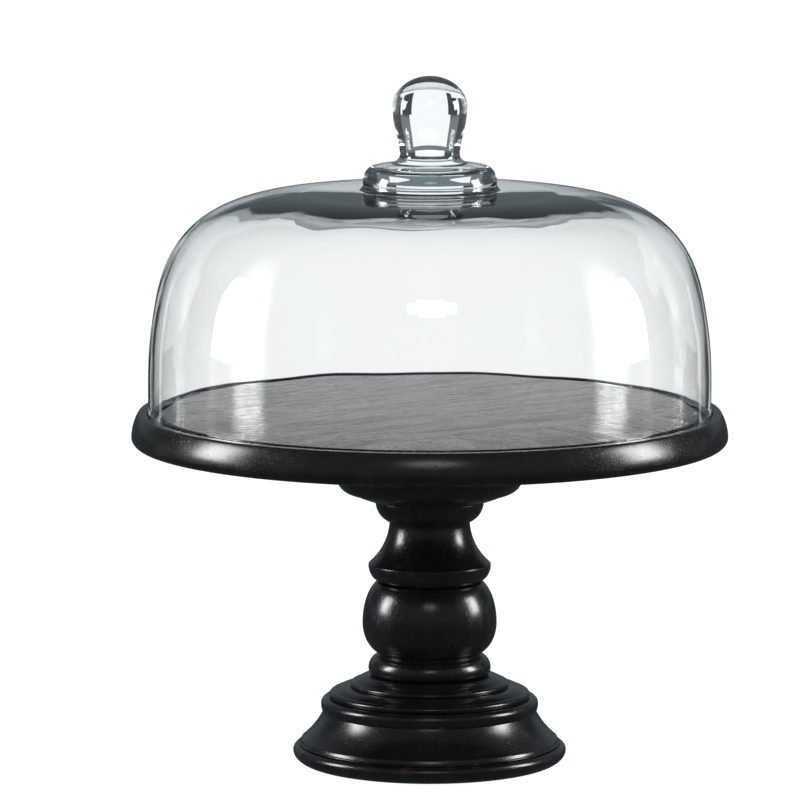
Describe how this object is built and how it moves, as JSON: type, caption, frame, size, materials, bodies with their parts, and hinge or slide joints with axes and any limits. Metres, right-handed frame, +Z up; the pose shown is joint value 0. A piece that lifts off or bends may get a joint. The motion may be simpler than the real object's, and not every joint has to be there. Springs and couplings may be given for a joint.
{
  "type": "domed display stand",
  "caption": "Footed display stand of turned wood painted satin black, with a grooved round plate and a clear blown glass dome with a solid knob that lifts off.",
  "frame": {"origin": "on the turning axis, at the underside of the foot pads", "axes": "+Z up along the turning axis; the plate's long staves run from front left to back right, 38 degrees from +X towards +Y"},
  "size_m": [0.3048, 0.3048, 0.3556],
  "materials": {
    "dome_glass": "clear blown glass with a faint green tint",
    "knob_glass": "clear solid glass",
    "plate_paint": "satin black paint over open grain",
    "turned_paint": "satin black paint, lightly rubbed through at the edges",
    "zinc_steel": "zinc plated",
    "screw_steel": "yellow zinc plated",
    "felt": "pressed felt"
  },
  "bodies": {
    "stand": {"plate_stave_1": "plate_paint", "plate_stave_2": "plate_paint", "plate_stave_3": "plate_paint", "plate_stave_4": "plate_paint", "plate_stave_5": "plate_paint", "plate_stave_6": "plate_paint", "plate_stave_7": "plate_paint", "plate_end_block_1": "plate_paint", "plate_end_block_2": "plate_paint", "plate_end_block_3": "plate_paint", "plate_end_block_4": "plate_paint", "plate_end_block_5": "plate_paint", "plate_end_block_6": "plate_paint", "plate_end_block_7": "plate_paint", "mounting_disc": "turned_paint", "stem": "turned_paint", "base": "turned_paint", "tie_rod": "zinc_steel", "tee_nut": "zinc_steel", "rod_washer": "zinc_steel", "rod_nut": "zinc_steel", "plate_screws": "screw_steel", "foot_pad_1": "felt", "foot_pad_2": "felt", "foot_pad_3": "felt", "foot_pad_4": "felt"},
    "dome": {"glass_dome": "dome_glass", "dome_knob": "knob_glass"}
  },
  "joints": [
    {"name": "dome_lift", "type": "slide", "parent": "stand", "child": "dome", "axis": [0, 0, 1], "range_m": [0, 0.15]}
  ]
}
